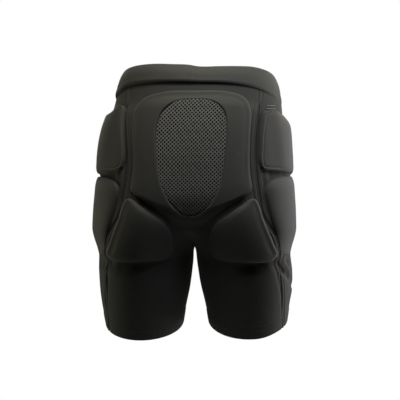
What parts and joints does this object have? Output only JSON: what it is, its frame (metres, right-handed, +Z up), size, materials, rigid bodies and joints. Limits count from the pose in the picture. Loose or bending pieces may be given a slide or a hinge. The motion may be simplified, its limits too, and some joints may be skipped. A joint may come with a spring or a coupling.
{
  "type": "padded protective shorts",
  "caption": "Padded protective shorts in worn form: sewn stretch panels, elastic waistband, tailbone pad with a mesh window, buttock pads and hip pads.",
  "frame": {"origin": "the centre of the waist opening, level with the waistband's upper edge at the side", "axes": "+Z up along the wearer's body, -Y to the back of the shorts, +X to the wearer's right leg"},
  "size_m": [0.3656, 0.2612, 0.4682],
  "materials": {
    "stretch_cloth": "matt black stretch knit",
    "band_elastic": "matt black ribbed elastic",
    "pad_cover": "matt black smooth knit over foam",
    "spacer_mesh": "black open diamond mesh over dark foam"
  },
  "bodies": {
    "root": {"back_panel": "stretch_cloth", "front_panel": "stretch_cloth", "side_panel_right": "stretch_cloth", "side_panel_left": "stretch_cloth", "waistband": "band_elastic", "tailbone_pad": "pad_cover", "tailbone_mesh": "spacer_mesh", "buttock_pad_right": "pad_cover", "buttock_pad_left": "pad_cover", "upper_hip_pad_right": "pad_cover", "upper_hip_pad_left": "pad_cover", "lower_hip_pad_right": "pad_cover", "lower_hip_pad_left": "pad_cover"}
  },
  "joints": []
}
